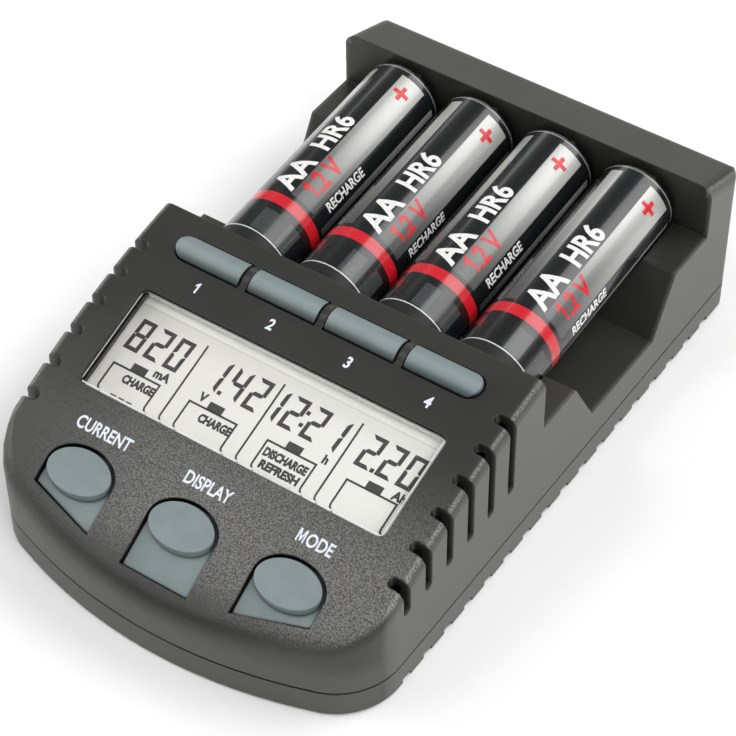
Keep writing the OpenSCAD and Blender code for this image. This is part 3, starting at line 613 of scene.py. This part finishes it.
DASH_ROWS = (
    # places, height on the display, length, width
    ((-24.6, -22.9, -21.4), -8.25, 1.2, 0.44),
    ((4.8, 6.0, 7.1, 8.3, 9.5, 10.6), -8.4, 0.7, 0.3),
)
DIVIDERS_X_MM = (-15.5, -0.2, 15.0)
DIVIDER_TOP_MM = 6.6
LINE_MM = 0.36
FRAME_W_MM = 9.4
FRAME_FOOT_MM = -7.5
FRAME_FOOT_R_MM = 1.0
NUB_W_MM, NUB_H_MM = 2.9, 1.5


def flat_face(shape, corners):
    shape.faces.new([shape.verts.new((x, v, 0)) for x, v in corners])


def bar(shape, start, end, width):
    """A flat bar from start to end."""
    a, b = Vector(start), Vector(end)
    aside = Vector((a.y - b.y, b.x - a.x)).normalized() * width / 2
    flat_face(shape, (a - aside, b - aside, b + aside, a + aside))


def level_bar(shape, x, v, length, width):
    """A flat bar across the display, with its middle at x, v."""
    bar(shape, (x - length / 2, v), (x + length / 2, v), width)


def stroke(shape, points, width):
    """A line of constant width through points."""
    for start, end in zip(points, points[1:]):
        bar(shape, start, end, width)


def curled_line(shape, x, top):
    """A line down from top that turns to the right at its lower end."""
    r, v = FRAME_FOOT_R_MM, FRAME_FOOT_MM
    turns = [k * math.pi / 12 for k in range(7)]
    curl = [(x + r - r * math.cos(a), v - r * math.sin(a)) for a in turns]
    stroke(shape, [(x, top)] + curl, LINE_MM)


def digit(shape, figure, x, v):
    """A seven-segment figure with its lower middle at x, v; its segments meet in mitres."""
    half, mid, t, gap = DIGIT_W_MM / 2, DIGIT_H_MM / 2, SEGMENT_MM, SEGMENT_GAP_MM
    end_bar = (
        (gap - half, mid), (half - gap, mid), (half - t - gap, mid - t), (t + gap - half, mid - t),
    )
    side_bar = (
        (half, mid - gap), (half, SIDE_GAP_MM), (half - t / 2, SIDE_GAP_MM),
        (half - t, t / 2 + gap), (half - t, mid - t - gap),
    )
    inner = half - t / 2 - gap
    cross_bar = (
        (-inner, 0), (t / 2 - inner, t / 2), (inner - t / 2, t / 2),
        (inner, 0), (inner - t / 2, -t / 2), (t / 2 - inner, -t / 2),
    )
    turns = {
        "a": (end_bar, 1, 1), "d": (end_bar, 1, -1), "g": (cross_bar, 1, 1),
        "b": (side_bar, 1, 1), "c": (side_bar, 1, -1),
        "e": (side_bar, -1, -1), "f": (side_bar, -1, 1),
    }
    for name in SEGMENTS[figure]:
        corners, across, along = turns[name]
        turned = [(px * across, pv * along) for px, pv in corners]
        flat_face(shape, [(x + px + pv * FIGURE_SLANT, v + mid + pv) for px, pv in turned])


def display_print():
    """The figures, frames and words on the display."""
    shape = bmesh.new()
    for text, places, unit, unit_place, left, frame_v in FIGURE_GROUPS:
        for figure, x in zip(text, places):
            digit(shape, figure, x, DIGIT_V_MM)
        add_words(shape, unit, UNIT_MM, UNIT_SQUEEZE, UNIT_WEIGHT, *unit_place)
        middle = left + FRAME_W_MM / 2
        level_bar(shape, middle, frame_v + NUB_H_MM / 2, NUB_W_MM, NUB_H_MM)
        level_bar(shape, middle, frame_v, FRAME_W_MM + LINE_MM, LINE_MM)
        for x in (left, left + FRAME_W_MM):
            curled_line(shape, x, frame_v)
    for text, squeeze, x, v in NOTES:
        add_words(shape, text, NOTE_MM, squeeze, NOTE_WEIGHT, x, v)
    for x in DIVIDERS_X_MM:
        curled_line(shape, x, DIVIDER_TOP_MM)
    for x, v in POINTS:
        level_bar(shape, x, v, POINT_MM, POINT_MM)
    for places, v, length, width in DASH_ROWS:
        for x in places:
            level_bar(shape, x, v, length, width)
    lay(shape, lambda x, v: on_plane(x, v, -LCD_DEPTH_MM + PRINT_LIFT_MM))
    bmesh.ops.recalc_face_normals(shape, faces=shape.faces)
    ink = plain_finish("display_ink", (42, 42, 39), (56, 56, 52), 0.4, 0.5)
    add_piece("display_figures", shape, ink)


# Panel

LEGENDS = (
    # text, height, squeeze, weight, place
    ("CURRENT", 2.2, 0.78, 0.024, -20.35, -15.2),
    ("DISPLAY", 2.2, 0.78, 0.024, 0.3, -15.1),
    ("MODE", 2.2, 0.78, 0.024, 20.7, -15.0),
    ("1", 2.1, 0.85, 0.03, -21.9, 13.6),
    ("2", 2.1, 0.85, 0.03, -6.9, 13.6),
    ("3", 2.1, 0.85, 0.03, 8.2, 13.6),
    ("4", 2.1, 0.85, 0.03, 23.4, 13.6),
)
LEGENDS_REACH_MM = 17


def panel_print():
    """White key legends and slot numbers on the panel."""
    shape = bmesh.new()
    for legend in LEGENDS:
        add_words(shape, *legend)
    slice_shape(shape, 1.0, LEGENDS_REACH_MM)
    lay(shape, lambda x, v: on_panel(x, v, PRINT_LIFT_MM))
    ink = plain_finish("legend_ink", (214, 219, 230), (236, 239, 246), 0.3, 0.45)
    add_piece("panel_legends", shape, ink)


# Cells

SLEEVE_WORDS = (
    # text, height, squeeze, angle of its middle line, middle along the cell, ink
    ("AA", 4.4, 0.95, -4, 33.0, "white"),
    ("HR6", 4.0, 0.9, -4, 21.5, "white"),
    ("1.2 V", 3.6, 0.85, 33, 30.8, "red"),
    ("RECHARGE", 1.8, 0.85, 68, 29.0, "white"),
    ("+", 4.2, 1.0, 33, 7.0, "red"),
)
SLEEVE_WEIGHT = 0.03


def sleeve_print(index, x_mm, turn, inks):
    """Plain marks on a cell's sleeve, reading from its front to its rear."""
    shapes = {ink: bmesh.new() for ink in inks}
    for text, height, squeeze, angle, middle, ink in SLEEVE_WORDS:
        label = words(text, height, squeeze, SLEEVE_WEIGHT)
        slice_shape(label, 0.5, height)
        def place(u, v):
            turned = math.radians(angle + turn) - v / CELL_R_MM
            return on_sleeve(x_mm, turned, middle - u, PRINT_LIFT_MM)
        lay(label, place)
        join_shape(shapes[ink], label)
    for ink, shape in shapes.items():
        add_piece(f"cell_{index}_{ink}_print", shape, inks[ink])


# Springs


def spring_coil(index, material):
    """A copy of the spring in front of a contact slider, in its own mesh, in place of the hidden
    solid; the real spring shortens as the slider comes forward.
    """
    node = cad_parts[f"slider_spring_{index}"]
    coil = add_object(f"spring_coil_{index}", node.data.copy())
    coil.data.materials.clear()
    coil.data.materials.append(material)
    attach(coil, BODY)
    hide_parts(node.name)
    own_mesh(coil)


# Dressing the solids

def dress(material, *names):
    """Gives solids their finish."""
    for name in names:
        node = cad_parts[name]
        node.data.materials.clear()
        node.data.materials.append(material)


def four(stem):
    return [f"{stem}_{i}" for i in SLOTS]


PLAIN_SOLIDS = (
    # finish, dark and light tone, grain in millimetres, roughness, metallic, solids
    ("white_plastic", (222, 222, 214), (236, 236, 230), 1.5, 0.5, 0, ("lcd_frame", "lcd_reflector")),
    ("strip_rubber", (150, 116, 130), (176, 140, 154), 0.6, 0.6, 0, ("contact_strips",)),
    ("board_resist", (22, 66, 38), (34, 92, 54), 1.2, 0.35, 0, ("main_board",)),
    # Painted shade: the display board's resist is near black, so that it reads as shade through the
    # vents.
    ("resist_painted_shade", (14, 22, 18), (20, 32, 25), 1.2, 0.4, 0, ("display_board",)),
    ("black_mould", (24, 24, 25), (36, 36, 37), 0.4, 0.45, 0,
     ("key_switches", "controller_chip", "power_transistors", "power_inlet")),
    ("zinc_plate", (150, 150, 146), (188, 188, 184), 0.5, 0.35, 1,
     ("display_board_screws", "case_screws")),
    ("nickel_plate", (186, 182, 170), (214, 210, 198), 0.6, 0.25, 1,
     four("positive_contact") + four("negative_slider")),
    ("link_tape", (196, 188, 166), (214, 206, 186), 1, 0.4, 0, ("board_link",)),
    ("ferrite", (58, 60, 64), (76, 78, 82), 0.3, 0.6, 0, ("power_coils",)),
    ("can_sleeve", (30, 33, 40), (42, 46, 54), 0.8, 0.3, 0, ("capacitors",)),
    ("sensor_coat", (110, 74, 44), (136, 94, 60), 0.5, 0.35, 0, ("temperature_sensors",)),
    ("foot_rubber", (26, 26, 26), (40, 40, 40), 0.5, 0.75, 0, ("rubber_feet",)),
)

dress(casing_finish("casing_plastic"), "upper_casing", "lower_casing")
dress(key_finish("key_plastic"), "current_key", "display_key", "mode_key", *four("slot_key"))
dress(lcd_finish("display_polariser"), "lcd_panel")
dress(window_finish("window_plastic"), "display_window")
for finish_name, *looks, solids in PLAIN_SOLIDS:
    dress(plain_finish(finish_name, *looks), *solids)

spring_wire = plain_finish("spring_wire", (150, 150, 148), (180, 180, 178), 0.3, 0.3, 1.0)
dress(spring_wire, *four("slider_spring"))
for i in SLOTS:
    spring_coil(i, spring_wire)

sleeve_inks = {
    "white": plain_finish("sleeve_white", (226, 226, 224), (240, 240, 238), 0.4, 0.25),
    "red": plain_finish("sleeve_red", (204, 32, 44), (220, 44, 54), 0.4, 0.25),
}
for i, cell_x, sleeve_turn in zip(SLOTS, CELL_XS_MM, SLEEVE_TURNS):
    dress(cell_finish(f"sleeve_{i}", cell_x, sleeve_turn), f"cell_{i}")
    sleeve_print(i, cell_x, sleeve_turn, sleeve_inks)
display_print()
panel_print()


# Stage: pale floor, soft lights and the photograph's camera, in metres

FLOOR_HALF = 40
FLOOR_FADE = (0.4, 1.4)
SKY_GREY = 0.16
SKY_HEIGHTS = (0.05, 0.16)
LIGHTS = (
    # name, place, target, size, watts
    ("rear_light", (0.58, 0.6, 0.92), (0, 0, 0.02), (0.9, 0.8), 8),
    ("front_light", (0.6, -0.36, 0.96), (0, 0, 0.02), (0.7, 0.7), 7),
    ("left_light", (-1.1, -0.3, 0.5), (0, 0, 0), (0.8, 0.5), 6),
    ("low_rear_light", (-0.48, 1.0, 0.6), (0, 0.03, 0.03), (1.0, 0.4), 2),
    ("sheen_light", (-0.44, -0.44, 1.02), (0, -0.04, 0.02), (0.36, 0.3), 1.8),
)
CAMERA_PLACE = (0.172407, -0.247331, 0.327733)
CAMERA_TURN = (43.6503, 0.2633, 34.2879)
CAMERA_LENS = 126.516
CAMERA_SHIFT = (-0.0062, 0.0026)


def stage_floor():
    """White paper; far off it shows plain white, so that the background has no edge."""
    shape = bmesh.new()
    bmesh.ops.create_grid(shape, x_segments=1, y_segments=1, size=FLOOR_HALF)
    floor = add_object("floor", mesh_of("floor", shape))
    finish = Finish("floor_white", Roughness=0.9, Specular_IOR_Level=0.0, Emission_Strength=1.0)
    paper = finish.mix(finish.noise(40), rgb(250, 250, 250), WHITE)
    length = {"operation": "LENGTH"}
    distance = finish.node("ShaderNodeVectorMath", length, {0: finish.place}, "Value")
    rays = ("Is Camera Ray", "Is Glossy Ray", "Is Transmission Ray")
    seen = reduce(Value.maximum, [finish.node("ShaderNodeLightPath", {}, {}, ray) for ray in rays])
    far = distance.ramp(*FLOOR_FADE) * seen
    finish.feed(
        Base_Color=finish.mix(far, paper, BLACK),
        Emission_Color=finish.mix(far, BLACK, WHITE),
    )
    floor.data.materials.append(finish.material)


def soft_light(name, place, target, size, power):
    """A rectangular light that faces its target."""
    light = bpy.data.lights.new(name, "AREA")
    light.shape = "RECTANGLE"
    light.size, light.size_y = size
    light.energy = power
    lamp = add_object(name, light)
    lamp.location = place
    lamp.rotation_euler = (Vector(target) - Vector(place)).to_track_quat("-Z", "Y").to_euler()


def studio_world():
    """Plain grey above, white at the horizon."""
    world = bpy.data.worlds.new("studio")
    world.use_nodes = True
    sky = Nodes(world.node_tree)
    background = sky.tree.nodes["Background"]
    height = sky.axes(sky.node("ShaderNodeTexCoord", {}, {}, "Generated"))[2]
    strength = 1 - height.ramp(*SKY_HEIGHTS) * (1 - SKY_GREY)
    sky.tree.links.new(strength.socket, background.inputs["Strength"])
    background.inputs["Color"].default_value = WHITE
    bpy.context.scene.world = world


def photo_camera():
    """The camera that was matched to the photograph."""
    lens = bpy.data.cameras.new("camera")
    lens.lens = CAMERA_LENS
    lens.sensor_width = 36
    lens.shift_x, lens.shift_y = CAMERA_SHIFT
    lens.clip_start = 0.01
    camera = add_object("camera", lens)
    camera.location = CAMERA_PLACE
    camera.rotation_euler = [math.radians(angle) for angle in CAMERA_TURN]
    bpy.context.scene.camera = camera


stage_floor()
for light_settings in LIGHTS:
    soft_light(*light_settings)
studio_world()
photo_camera()
bpy.context.scene.view_settings.view_transform = "Standard"
